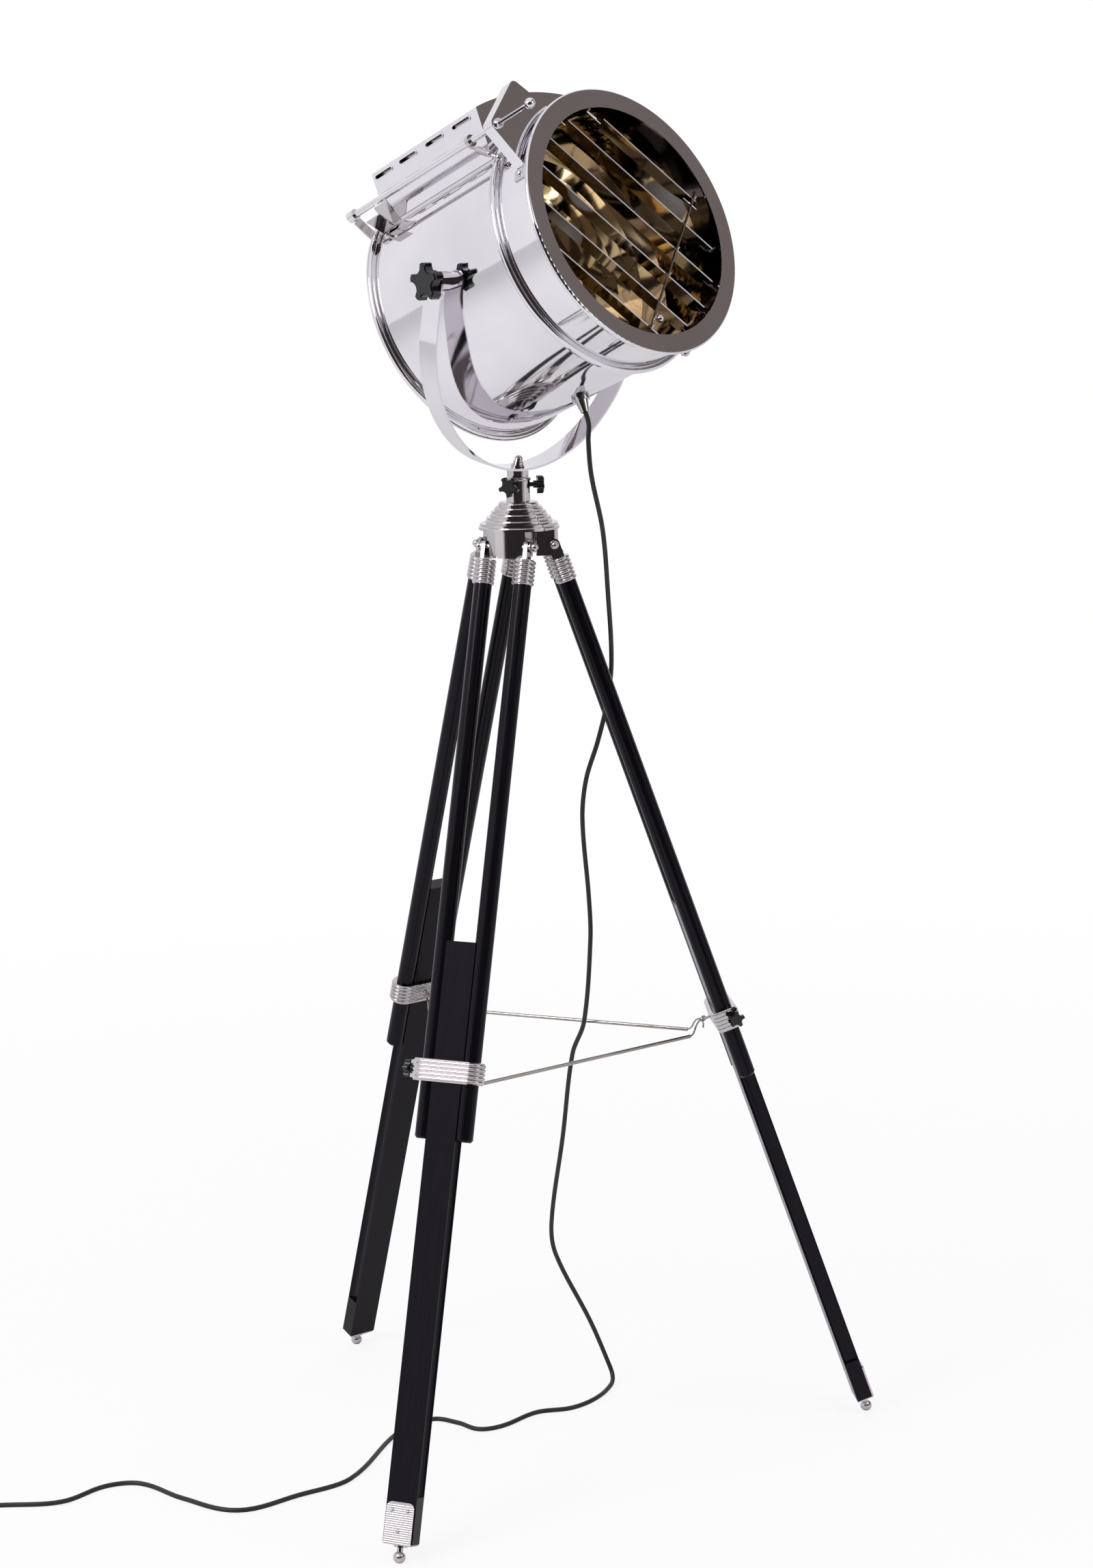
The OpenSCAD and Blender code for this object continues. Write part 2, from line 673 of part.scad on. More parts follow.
module cord_gland() color(chrome) at_head() translate([gland_x, 0, -drum_r]) rotate([180, 0, 0])
    difference() {
        union() {
            translate([0, 0, -8]) cylinder(r = gland_r, h = 12);
            difference() {
                translate([0, 0, -3]) cylinder(r = 12, h = 8);
                translate([0, 0, -drum_r]) rotate([0, 90, 0])
                    cylinder(r = drum_r + 0.02, h = 60, center = true, $fn = 180);
            }
            translate([0, 0, 5]) cylinder(r1 = 9, r2 = 5.5, h = gland_len - 5);
        }
        translate([0, 0, gland_len - 14]) cylinder(r = gland_bore_r, h = 20);
    }

// ---------------------------------------------------------------- legs

ferrule_r = 14;
ferrule_top = 18;
ferrule_end = 52;
tab_in = 28.2;          // inner face of a ferrule's tab
tab_t = 4.8;
dowel_y = dowel_gap / 2;

module leg_dowels(dir) color(wood) down_leg(dir) for (s = [-1, 1]) translate([0, s * dowel_y, 0]) {
    translate([0, 0, -dowel_end + 3]) cylinder(d = dowel_d, h = dowel_end - 3 - ferrule_top - 4);
    translate([0, 0, -dowel_end]) cylinder(d1 = dowel_d - 5, d2 = dowel_d, h = 3.01);
}

// Turned cap of a dowel: six rings, and a tab that hangs on the hinge rod
module leg_ferrules(dir) color(chrome) down_leg(dir) for (s = [-1, 1]) {
    difference() {
        union() {
            translate([0, s * dowel_y, -ferrule_end]) rotate_extrude() ferrule_profile();
            translate([0, s * (tab_in + tab_t / 2), 0]) {
                rotate([90, 0, 0]) cylinder(r = 8, h = tab_t, center = true);
                translate([-8, -tab_t / 2, -ferrule_top - 2]) cube([16, tab_t, ferrule_top + 2]);
            }
        }
        translate([0, s * dowel_y, -ferrule_end - 1])
            cylinder(d = dowel_d, h = ferrule_end - ferrule_top - 3);
        rotate([90, 0, 0]) cylinder(r = rod_r + running, h = 120, center = true);
    }
}

module ferrule_profile() {
    h = ferrule_end - ferrule_top;
    square([ferrule_r - 1.2, h]);
    for (i = [0:5]) translate([ferrule_r - 1.8, (i + 0.5) * h / 6]) circle(r = h / 13, $fn = 24);
}

clamp_half = 47;        // half the width of a clamp
clamp_deep = 17;        // half its depth
eye_in = 30;            // distance of the eye from the leg's middle
eye_z = -clamp_at;

// Clamp: a ribbed band round both dowels, split at one end, with the eye of the rods inside
module leg_clamp(dir) down_leg(dir) {
    color(chrome) translate([0, 0, -clamp_at]) difference() {
        union() {
            translate([0, 0, -clamp_h / 2]) linear_extrude(clamp_h) clamp_outline(1.2);
            for (i = [0:4]) translate([0, 0, (i - 2) * 5.4 - 1.6]) linear_extrude(3.2)
                clamp_outline(0);
            for (s = [-1, 1]) translate([8, -clamp_half - 3, s * 9 - 2.5]) cube([9, 8, 5]);
        }
        for (s = [-1, 1]) translate([0, s * dowel_y, 0])
            cylinder(d = dowel_d, h = 2 * clamp_h, center = true);
        cube([board_t + 2 * clear, board_w + 2 * clear, 2 * clamp_h], center = true);
        translate([10, -clamp_half - 10, 0]) rotate([-90, 0, 0]) cylinder(r = 2.55, h = 22);
    }
    color(chrome) translate([0, 0, eye_z]) {
        translate([-clamp_deep + 3, 0, 0]) rotate([0, -90, 0])
            cylinder(r = 2, h = eye_in - clamp_deep + 3);
        translate([-eye_in, 0, 0]) sphere(r = 3.6);
    }
    color(chrome) translate([-eye_in, 0, eye_z]) rotate([0, leg_slope, 0])
        rotate([0, 0, 90 - pin_turn]) rotate([0, 90, 0]) cylinder(r = pin_r, h = 12);
}

module clamp_outline(inset) {
    r = clamp_deep - inset;
    translate([-r, -clamp_half + inset]) square([2 * r, 2 * clamp_half - 17]);
    translate([0, clamp_half - clamp_deep]) circle(r = r);
    translate([-r, 0]) square([2 * r, clamp_half - clamp_deep]);
}

// Small star knob on the clamp's screw
module leg_knob(dir) down_leg(dir) translate([10, -clamp_half - 3.2, -clamp_at])
    rotate([90, 0, 0]) {
        color(black) star_knob(11.5, 7, 4.5, 3);
        color(chrome) translate([0, 0, -11]) cylinder(r = 2.5, h = 12);
    }

board_end = 1302;
groove_r = dowel_d / 2 + clear;

// Board that slides between the dowels, with a groove for each in its edges
module leg_board(dir) color(wood) down_leg(dir) difference() {
    translate([-board_t / 2, -board_w / 2, -board_end]) cube([board_t, board_w, board_end - board_top]);
    for (s = [-1, 1]) translate([0, s * dowel_y, -board_end + groove_stop])
        cylinder(r = groove_r, h = board_end);
}

groove_stop = 60;       // the grooves end this far above the board's end
foot_plate_h = 52;

foot_plate_w = 39;
foot_plate_t = 1.6;
rib_pitch = 2.8;

// Ribbed plate on the outer face of the board's end, its three screws and the sheet under it
module leg_plate(dir) color(chrome) down_leg(dir) {
    translate([board_t / 2, 0, -board_end]) {
        intersection() {
            rotate([90, 0, 90]) linear_extrude(5) foot_plate_outline();
            union() {
                translate([0, -foot_plate_w / 2, -10]) cube([foot_plate_t, foot_plate_w, 100]);
                for (i = [0:17]) translate([foot_plate_t, 0, i * rib_pitch])
                    rotate([90, 0, 0]) cylinder(r = 1, h = foot_plate_w, center = true, $fn = 16);
            }
        }
        for (p = [[-11, -11], [11, -11], [0, -37]])
            translate([foot_plate_t + 0.4, p[0], foot_plate_h + p[1]])
                rotate([0, 90, 0]) screw_head(2.8, 1.8);
    }
    translate([-board_t / 2, -foot_plate_w / 2, -board_end - 2])
        cube([board_t + foot_plate_t, foot_plate_w, 1.98]);
}

// Rectangle with two round corners
module foot_plate_outline() {
    r = 8;
    translate([-foot_plate_w / 2, -2]) square([foot_plate_w, foot_plate_h + 2 - r]);
    translate([-foot_plate_w / 2 + r, -2]) square([foot_plate_w - 2 * r, foot_plate_h + 2]);
    for (s = [-1, 1]) translate([s * (foot_plate_w / 2 - r), foot_plate_h - r]) circle(r = r);
}

// Turned foot with a ball that stands on the floor
module leg_foot(dir) color(chrome) difference() {
    down_leg(dir) {
        translate([0, 0, -leg_len]) sphere(r = ball_r);
        translate([0, 0, -leg_len]) cylinder(r = 4, h = leg_len - board_end - 2);
        translate([0, 0, -board_end - 5]) cylinder(r = 9, h = 2.98);
    }
    at_leg(dir) translate([foot_r - 50, -50, -50]) cube([100, 100, 50]);
}

// ---------------------------------------------------------------- spreader rods

pin_r = 1.5;
pin_turn = 25.5;        // turn of an eye's pin from the tangent
pin_side = 7;           // distance of the loop from the eye's middle
rod_tube_d = 5;
rod_wire_d = 2.4;
rod_drop = 18;          // how far the tube lies below the eyes

// Place of an eye in the leg frame
eye_r = hinge_r - eye_in * cos(leg_slope) + clamp_at * sin(leg_slope);
eye_h = hinge_h - eye_in * sin(leg_slope) - clamp_at * cos(leg_slope);

// Ends of a rod in the frame of the leg that it hangs on
ROD_P = [eye_r + pin_side * sin(pin_turn), pin_side * cos(pin_turn)];
ROD_Q = [eye_r * cos(120) - 7 * -sin(120), eye_r * sin(120) - 7 * cos(120)];
rod_len = norm(ROD_Q - ROD_P);
rod_dir = atan2(ROD_Q[1] - ROD_P[1], ROD_Q[0] - ROD_P[0]);

// Rod from this leg's eye to the next: a tube with a bent wire in each end
module leg_rod(dir) color(chrome) at_leg(dir) translate([ROD_P[0], ROD_P[1], eye_h]) {
    rotate([0, 0, 90 - pin_turn]) rotate([0, 90, 0]) rotate_extrude($fn = 32)
        translate([pin_r + rod_wire_d / 2 + 0.08, 0]) circle(d = rod_wire_d, $fn = 16);
    rotate([0, 0, rod_dir]) {
        wire([[2.9, 0, 0], [12, 0, -4], [20, 0, -rod_drop + 2], [34, 0, -rod_drop]], rod_wire_d);
        bar([24, 0, -rod_drop], [rod_len - 24, 0, -rod_drop], rod_tube_d, false);
        wire([[rod_len - 34, 0, -rod_drop], [rod_len - 20, 0, -rod_drop + 1],
            [rod_len - 11, 0, -3], [rod_len - 4, 0, 2], [rod_len, 0, -3], [rod_len, 0, -10]],
            rod_wire_d);
    }
}

module leg_a_dowels() leg_dowels(LEG_DIR[0]);
module leg_a_ferrules() leg_ferrules(LEG_DIR[0]);
module leg_a_clamp() leg_clamp(LEG_DIR[0]);
module leg_a_knob() leg_knob(LEG_DIR[0]);
module leg_a_board() leg_board(LEG_DIR[0]);
module leg_a_plate() leg_plate(LEG_DIR[0]);
module leg_a_foot() leg_foot(LEG_DIR[0]);
module leg_a_rod() leg_rod(LEG_DIR[0]);
module leg_b_dowels() leg_dowels(LEG_DIR[1]);
module leg_b_ferrules() leg_ferrules(LEG_DIR[1]);
module leg_b_clamp() leg_clamp(LEG_DIR[1]);
module leg_b_knob() leg_knob(LEG_DIR[1]);
module leg_b_board() leg_board(LEG_DIR[1]);
module leg_b_plate() leg_plate(LEG_DIR[1]);
module leg_b_foot() leg_foot(LEG_DIR[1]);
module leg_b_rod() leg_rod(LEG_DIR[1]);
module leg_c_dowels() leg_dowels(LEG_DIR[2]);
module leg_c_ferrules() leg_ferrules(LEG_DIR[2]);
module leg_c_clamp() leg_clamp(LEG_DIR[2]);
module leg_c_knob() leg_knob(LEG_DIR[2]);
module leg_c_board() leg_board(LEG_DIR[2]);
module leg_c_plate() leg_plate(LEG_DIR[2]);
module leg_c_foot() leg_foot(LEG_DIR[2]);
module leg_c_rod() leg_rod(LEG_DIR[2]);

// ---------------------------------------------------------------- cord

cord_d = 6.5;
lie_z = cord_d / 2 + 0.2;       // height of the cord's middle where it lies on the floor

// Route, measured from the foot of the pan axis: out of the gland, down between the dowels
// of leg C, over the floor and to the coil
ROUTE = [
    [88, -86, 1443], [90, -88, 1436], [94, -92, 1420], [93, -93, 1399], [96, -86, 1354],
    [110, -64, 1279], [116, -36, 1193], [120, 0, 1096], [114, 12, 1040], [100, 22, 982],
    [83, 32, 927], [77, 42, 870], [84, 64, 754], [85, 70, 694], [74, 86, 572], [57, 103, 521],
    [41, 134, 392], [22, 160, 255], [27, 169, 204], [75, 186, 95], [99, 187, 33],
    [106, 179, 12], [102, 159, 5], [78, 112, lie_z], [43, 79, lie_z], [-6, 66, lie_z],
    [-55, 18, lie_z], [-88, 8, lie_z], [-118, 34, lie_z], [-155, 50, lie_z], [-202, 2, lie_z],
    [-262, -160, lie_z], [-328, -210, lie_z], [-406, -256, lie_z], [-485, -210, lie_z],
    [-547, -156, lie_z], [-593, -162, lie_z], [-647, -212, lie_z], [-725, -218, lie_z],
    [-769, -218, lie_z]
];

module cord() color(black) at_axis() sweep(curve(ROUTE, 2), cord_d / 2, 8);

// Coil: it winds in on the floor, climbs a layer and winds out again on top
coil_out_r = 44;
coil_in_r = 34;
coil_in_turns = 1.25;
coil_turns = 2.25;
coil_layer = cord_d + 0.75;
COIL_AT = [-781, -262];
coil_rate = (coil_out_r - coil_in_r) / coil_in_turns;

function coil_radius(t) = coil_in_r + coil_rate * abs(t - coil_in_turns);
function coil_climb(t) = min(max((t - coil_in_turns + 0.25) / 0.5, 0), 1);
function coil_point(t) = [
    COIL_AT[0] + coil_radius(t) * cos(90 + 360 * t),
    COIL_AT[1] + coil_radius(t) * sin(90 + 360 * t),
    lie_z + coil_layer * coil_climb(t)];

plug_z = 7.5;                   // height of the plug's middle
plug_long = 36;                 // length of its body
coil_end = coil_point(coil_turns);
PLUG_AT = [coil_end[0], coil_end[1] - 84, plug_z];
COIL = concat([[ROUTE[len(ROUTE) - 1][0], COIL_AT[1] + coil_out_r, lie_z]],
    [for (t = [0:1 / 24:coil_turns + 0.001]) coil_point(t)],
    [coil_end - [0, 12, 0], coil_end - [0, 24, 0.5],
    PLUG_AT + [0, 30, 0.5], PLUG_AT + [0, 12, 0], PLUG_AT]);

// Least gap between stretches of the coil that are more than half a turn apart
coil_gap = min([for (i = [0:len(COIL) - 13], j = [i + 12:len(COIL) - 1])
    norm(COIL[i] - COIL[j])]) - cord_d;
echo(coil_gap = coil_gap);

module cord_coil() color(black) at_axis() sweep(COIL, cord_d / 2, 6);

// Moulded plug, lying on the floor
module plug() color(black) at_plug() {
    cylinder(r1 = 4, r2 = 6, h = 18);
    translate([0, 7, 16]) rotate([90, 0, 0]) linear_extrude(14)
        polygon([[-7, 0], [7, 0], [17, 16], [17, plug_long], [-17, plug_long], [-17, 16]]);
}

// Its two round pins, standing on its end
module plug_pins() color(chrome) at_plug() for (s = [-1, 1])
    translate([s * 9.5, 0, 16 + plug_long]) {
        cylinder(r = 2.4, h = 17);
        translate([0, 0, 17]) sphere(r = 2.4, $fn = 24);
    }

// Plug frame: origin where the cord enters, Z towards the pins, X along the floor
module at_plug() at_axis() translate(PLUG_AT) rotate([90, 0, 0]) children();

hub_dome();
hub_lugs();
hinge_rods();
neck_socket();
neck_knob_front();
neck_knob_side();
yoke_strap();
yoke_spigot();
tilt_knob_left();
tilt_knob_right();
pivot_studs();
front_collar();
drum_shell();
bezel();
bezel_tabs();
louvre_ring();
slat_1();
slat_2();
slat_3();
slat_4();
slat_5();
slat_6();
louvre_link();
reflector();
lamp_holder();
bulb();
rear_cover();
vent_housing();
bracket_plate();
rail();
rail_stays();
cord_gland();
leg_a_dowels();
leg_a_ferrules();
leg_a_clamp();
leg_a_knob();
leg_a_board();
leg_a_plate();
leg_a_foot();
leg_a_rod();
leg_b_dowels();
leg_b_ferrules();
leg_b_clamp();
leg_b_knob();
leg_b_board();
leg_b_plate();
leg_b_foot();
leg_b_rod();
leg_c_dowels();
leg_c_ferrules();
leg_c_clamp();
leg_c_knob();
leg_c_board();
leg_c_plate();
leg_c_foot();
leg_c_rod();
cord();
cord_coil();
plug();
plug_pins();
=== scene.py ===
"""Tripod spotlight floor lamp: finishes, clamp beads, cord, studio and camera, in metres."""
import math

import bpy
import numpy as np
from mathutils import Matrix, Vector


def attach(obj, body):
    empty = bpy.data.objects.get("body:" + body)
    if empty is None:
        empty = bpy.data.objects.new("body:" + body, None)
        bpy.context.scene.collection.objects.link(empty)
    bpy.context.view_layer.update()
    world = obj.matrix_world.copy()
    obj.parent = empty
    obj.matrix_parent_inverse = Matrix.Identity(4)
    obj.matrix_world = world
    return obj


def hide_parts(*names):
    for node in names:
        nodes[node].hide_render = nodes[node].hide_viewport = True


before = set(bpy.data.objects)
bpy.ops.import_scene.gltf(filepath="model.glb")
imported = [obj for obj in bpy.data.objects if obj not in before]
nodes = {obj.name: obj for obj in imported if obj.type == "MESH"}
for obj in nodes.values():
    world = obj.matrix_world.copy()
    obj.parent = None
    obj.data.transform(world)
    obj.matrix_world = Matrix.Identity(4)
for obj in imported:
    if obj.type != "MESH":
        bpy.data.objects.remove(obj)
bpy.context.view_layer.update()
scene = bpy.context.scene

# Foot of the lamp's pan axis
AXIS = np.array([-0.0865, 0.0245, 0.0])

# ---------------------------------------------------------------- camera

# In front of the pan axis and above the floor
CAMERA_DISTANCE = 4.3846
CAMERA_HEIGHT = 1.7572
CAMERA_PITCH = math.radians(10.707)
CAMERA_YAW = math.radians(-0.374)
CAMERA_ROLL = math.radians(-1.35)
FOCAL_PIXELS = 4818.7
IMAGE_HEIGHT = 2296         # the picture's long side, over which the sensor is spread
SENSOR_WIDTH = 36
FARTHEST_SEEN = 60          # in metres


def place_camera():
    """The camera looks along the yaw and pitch, turned about that line by the roll."""
    forward = Vector((
        -math.sin(CAMERA_YAW) * math.cos(CAMERA_PITCH),
        math.cos(CAMERA_YAW) * math.cos(CAMERA_PITCH),
        -math.sin(CAMERA_PITCH)))
    level_right = Vector((math.cos(CAMERA_YAW), math.sin(CAMERA_YAW), 0))
    level_up = level_right.cross(forward)
    right = math.cos(CAMERA_ROLL) * level_right + math.sin(CAMERA_ROLL) * level_up
    up = right.cross(forward)
    data = bpy.data.cameras.new("camera")
    data.sensor_width = SENSOR_WIDTH
    data.lens = SENSOR_WIDTH * FOCAL_PIXELS / IMAGE_HEIGHT
    data.clip_end = FARTHEST_SEEN
    camera = bpy.data.objects.new("camera", data)
    scene.collection.objects.link(camera)
    turn = Matrix((right, up, -forward)).transposed()
    camera.matrix_world = Matrix.Translation(
        (AXIS[0], AXIS[1] - CAMERA_DISTANCE, CAMERA_HEIGHT)) @ turn.to_4x4()
    scene.camera = camera


place_camera()

# ---------------------------------------------------------------- materials

# Noise keeps between these values over most of a surface
NOISE_LOW = 0.3
NOISE_HIGH = 0.7


def material(name):
    """A new material with its node tree, its shader and its object coordinates."""
    made = bpy.data.materials.new(name)
    made.use_nodes = True
    tree = made.node_tree
    shader = tree.nodes["Principled BSDF"]
    place = tree.nodes.new("ShaderNodeTexCoord").outputs["Object"]
    return made, tree, shader, place


def turned(tree, place, angles=(0, 0, 0), stretch=(1, 1, 1)):
    """Coordinates turned and stretched for a pattern with a direction."""
    node = tree.nodes.new("ShaderNodeMapping")
    node.vector_type = "TEXTURE"
    node.inputs["Rotation"].default_value = angles
    tree.links.new(place, node.inputs["Vector"])
    scaled = tree.nodes.new("ShaderNodeVectorMath")
    scaled.operation = "MULTIPLY"
    scaled.inputs[1].default_value = stretch
    tree.links.new(node.outputs["Vector"], scaled.inputs[0])
    return scaled.outputs["Vector"]


def noise(tree, place, scale, detail=4.0, roughness=0.5):
    """Cloudy pattern with the given number of clouds to the metre."""
    node = tree.nodes.new("ShaderNodeTexNoise")
    node.inputs["Scale"].default_value = scale
    node.inputs["Detail"].default_value = detail
    node.inputs["Roughness"].default_value = roughness
    tree.links.new(place, node.inputs["Vector"])
    return node.outputs["Fac"]


def spread(tree, fac, low, high, socket, start=NOISE_LOW, stop=NOISE_HIGH):
    """A pattern's middle range mapped to values from low to high on a shader's socket."""
    node = tree.nodes.new("ShaderNodeMapRange")
    node.inputs["From Min"].default_value = start
    node.inputs["From Max"].default_value = stop
    node.inputs["To Min"].default_value = low
    node.inputs["To Max"].default_value = high
    tree.links.new(fac, node.inputs["Value"])
    tree.links.new(node.outputs["Result"], socket)


def tint(tree, fac, dark, light, socket):
    """A pattern's middle range mapped between two colours on a shader's socket."""
    ramp = tree.nodes.new("ShaderNodeValToRGB")
    ramp.color_ramp.elements[0].position = NOISE_LOW
    ramp.color_ramp.elements[0].color = (*dark, 1)
    ramp.color_ramp.elements[1].position = NOISE_HIGH
    ramp.color_ramp.elements[1].color = (*light, 1)
    tree.links.new(fac, ramp.inputs["Fac"])
    tree.links.new(ramp.outputs["Color"], socket)


def relief(tree, shader, fac, height, below=None):
    """A pattern used as relief of the given height, on top of another relief if one is given."""
    bump = tree.nodes.new("ShaderNodeBump")
    bump.inputs["Distance"].default_value = height
    bump.inputs["Strength"].default_value = 1.0
    tree.links.new(fac, bump.inputs["Height"])
    if below is not None:
        tree.links.new(below, bump.inputs["Normal"])
    tree.links.new(bump.outputs["Normal"], shader.inputs["Normal"])
    return bump.outputs["Normal"]


def polished_nickel(name, dark, light, rough, wave):
    """Mirror-bright plate: slow waves of the sheet, faint haze and fine polishing marks."""
    made, tree, shader, place = material(name)
    shader.inputs["Metallic"].default_value = 1.0
    haze = noise(tree, place, scale=9, detail=5)
    marks = noise(tree, turned(tree, place, stretch=(1, 1, 14)), scale=160, detail=3)
    tint(tree, haze, dark, light, shader.inputs["Base Color"])
    spread(tree, marks, rough * 0.6, rough * 1.6, shader.inputs["Roughness"])
    slow = relief(tree, shader, noise(tree, place, scale=7, detail=1), height=wave)
    relief(tree, shader, marks, height=0.000004, below=slow)
    return made


def lacquered_wood(name, leg_direction):
    """Satin black lacquer over straight grain that runs down the leg."""
    made, tree, shader, place = material(name)
    down = Vector(leg_direction)
    angles = down.to_track_quat("Z", "Y").to_euler()
    along = turned(tree, place, angles, stretch=(1, 1, 0.03))
    grain = noise(tree, along, scale=520, detail=6, roughness=0.6)
    cloud = noise(tree, place, scale=14, detail=3)
    tint(tree, grain, (0.002, 0.0014, 0.003), (0.006, 0.0045, 0.008),
         shader.inputs["Base Color"])
    spread(tree, cloud, 0.2, 0.28, shader.inputs["Roughness"])
    shader.inputs["Specular IOR Level"].default_value = 0.12
    shader.inputs["Specular Tint"].default_value = (0.94, 0.86, 1, 1)
    shader.inputs["Coat Weight"].default_value = 0.1
    shader.inputs["Coat Roughness"].default_value = 0.08
    relief(tree, shader, grain, height=0.00004)
    return made


def moulded_plastic(name, dark, light, smooth, rough):
    """Moulded plastic with a faint flow pattern and a fine skin."""
    made, tree, shader, place = material(name)
    flow = noise(tree, place, scale=120)
    tint(tree, flow, dark, light, shader.inputs["Base Color"])
    spread(tree, flow, smooth, rough, shader.inputs["Roughness"])
    relief(tree, shader, noise(tree, place, scale=900, detail=2), height=0.00001)
    return made


def frosted_glass(name):
    """White frosted envelope of the bulb."""
    made, tree, shader, place = material(name)
    cloud = noise(tree, place, scale=60)
    tint(tree, cloud, (0.82, 0.80, 0.74), (0.90, 0.88, 0.83), shader.inputs["Base Color"])
    spread(tree, cloud, 0.22, 0.34, shader.inputs["Roughness"])
    shader.inputs["Subsurface Weight"].default_value = 0.3
    shader.inputs["Subsurface Radius"].default_value = (0.01, 0.01, 0.01)
    return made


# The legs' turns about the pan axis, in degrees, and their slope from upright
LEG_TURNS = {"a": -113.5, "b": 126.5, "c": 6.5}
LEG_SLOPE = math.radians(18.716)


def leg_line(leg):
    """Direction down a leg: outward by the slope's sine along its turn, down by its cosine."""
    across = math.radians(LEG_TURNS[leg])
    return (math.sin(LEG_SLOPE) * math.cos(across), math.sin(LEG_SLOPE) * math.sin(across),
            -math.cos(LEG_SLOPE))


nickel = polished_nickel("polished_nickel", (0.74, 0.72, 0.75), (0.82, 0.80, 0.83),
                         rough=0.05, wave=0.0006)
small_nickel = polished_nickel("small_nickel", (0.50, 0.47, 0.48), (0.64, 0.61, 0.62),
                               rough=0.09, wave=0.0)
rod_steel = polished_nickel("rod_steel", (0.30, 0.27, 0.26), (0.42, 0.39, 0.37),
                            rough=0.14, wave=0.0)
# Louvre ring: polished nickel darkened to near black, as painted shade inside the drum
painted_shade_nickel = polished_nickel("painted_shade_nickel", (0.07, 0.06, 0.055), (0.13, 0.11, 0.10),
                              rough=0.08, wave=0.0)
# Reflector: warm brass tone of its own, darkened further as painted shade inside the drum
warm_metal = polished_nickel("warm_metal", (0.40, 0.27, 0.12), (0.62, 0.46, 0.24),
                             rough=0.05, wave=0.0001)
knob_black = moulded_plastic("knob_black", (0.006, 0.006, 0.007), (0.010, 0.010, 0.011),
                             smooth=0.10, rough=0.18)
holder_black = moulded_plastic("holder_black", (0.02, 0.02, 0.02), (0.03, 0.03, 0.03),
                               smooth=0.5, rough=0.6)
cord_black = moulded_plastic("cord_black", (0.008, 0.008, 0.008), (0.014, 0.014, 0.014),
                             smooth=0.38, rough=0.5)
bulb_glass = frosted_glass("bulb_glass")
wood = {leg: lacquered_wood("lacquered_wood_" + leg, leg_line(leg)) for leg in LEG_TURNS}

# Fittings with the same finish as those of the legs, the hub and the neck
SMALL_PIECES = ("hinge_rods", "yoke_spigot", "louvre_link", "rail_stays", "bezel_tabs",
                "cord_gland", "plug_pins")


def finish_of(node):
    """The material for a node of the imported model, by its name."""
    if node.startswith("leg_") and node.endswith(("dowels", "board")):
        return wood[node[4]]
    if node == "plug" or "knob" in node:
        return knob_black
    if node == "reflector":
        return warm_metal
    if node == "lamp_holder":
        return holder_black
    if node == "bulb":
        return bulb_glass
    if node in ("cord", "cord_coil"):
        return cord_black
    # The louvre ring gets nickel darkened as painted shade of the drum's inside
    if node == "louvre_ring":
        return painted_shade_nickel
    if node.endswith("_rod"):
        return rod_steel
    if node.startswith(("leg_", "hub_", "neck_")) or node in SMALL_PIECES:
        return small_nickel
    return nickel


for name, node in nodes.items():
    node.data.materials.clear()
    node.data.materials.append(finish_of(name))

# ---------------------------------------------------------------- beads of the clamps

HINGE_OUT = 0.0424          # a leg's hinge, from the pan axis
HINGE_UP = 1.257
CLAMP_DOWN = 0.698          # from the hinge to the clamp's middle, down the leg
CLAMP_HALF = 0.0155         # from the middle to the line of the beads, across the clamp
CLAMP_START = -0.043        # where the beads begin, along the clamp
CLAMP_END = 0.030           # where the round end begins
BEADS = 5
BEAD_PITCH = 0.0054
BEAD_HEIGHT = 0.0023        # half of a bead's height, up the leg
BEAD_DEPTH = 0.0022         # half of its depth, outward
BEAD_POINTS = 72            # along a bead
BEAD_SIDES = 14             # round it
BEAD_TAPER = 2              # points at each end over which it closes
BEAD_TIP = 0.02             # size of the closed end, as a share of the bead's


def bead_line():
    """Points evenly along a U in the clamp's plane, and the outward direction at each: down one
    straight side, round a half circle and back up the other side, all by the length gone."""
    side = CLAMP_END - CLAMP_START
    bow = np.pi * CLAMP_HALF
    gone = np.linspace(0, 2 * side + bow, BEAD_POINTS)
    turn = np.clip((gone - side) / CLAMP_HALF, 0, np.pi)
    out = np.column_stack([-np.cos(turn), np.sin(turn)])
    along = CLAMP_START + np.minimum(gone, side) - np.maximum(gone - side - bow, 0)
    return np.column_stack([np.zeros(BEAD_POINTS), along]) + CLAMP_HALF * out, out


def leg_place(points, leg):
    """Points of a leg's own frame, turned about y by its slope, set at its hinge and turned about
    the pan axis to its place."""
    slope, turn = -LEG_SLOPE, math.radians(LEG_TURNS[leg])
    x = points[:, 0] * math.cos(slope) + points[:, 2] * math.sin(slope) + HINGE_OUT
    z = points[:, 2] * math.cos(slope) - points[:, 0] * math.sin(slope) + HINGE_UP
    y = points[:, 1]
    return AXIS + np.column_stack([
        x * math.cos(turn) - y * math.sin(turn), x * math.sin(turn) + y * math.cos(turn), z])


def bead_faces():
    """Quads from each ring of a bead to the next, with a closed face at its two ends, for every
    bead in turn."""
    ring, step = np.meshgrid(np.arange(BEAD_POINTS - 1), np.arange(BEAD_SIDES), indexing="ij")
    a = (ring * BEAD_SIDES + step).ravel()
    b = (ring * BEAD_SIDES + (step + 1) % BEAD_SIDES).ravel()
    quads = np.column_stack([a, b, b + BEAD_SIDES, a + BEAD_SIDES])
    starts = np.arange(BEADS) * BEAD_POINTS * BEAD_SIDES
    faces = (quads[None] + starts[:, None, None]).reshape(-1, 4).tolist()
    first = np.arange(BEAD_SIDES)
    last = (BEAD_POINTS - 1) * BEAD_SIDES + first
    for start in starts:
        faces += [(start + first[::-1]).tolist(), (start + last).tolist()]
    return faces


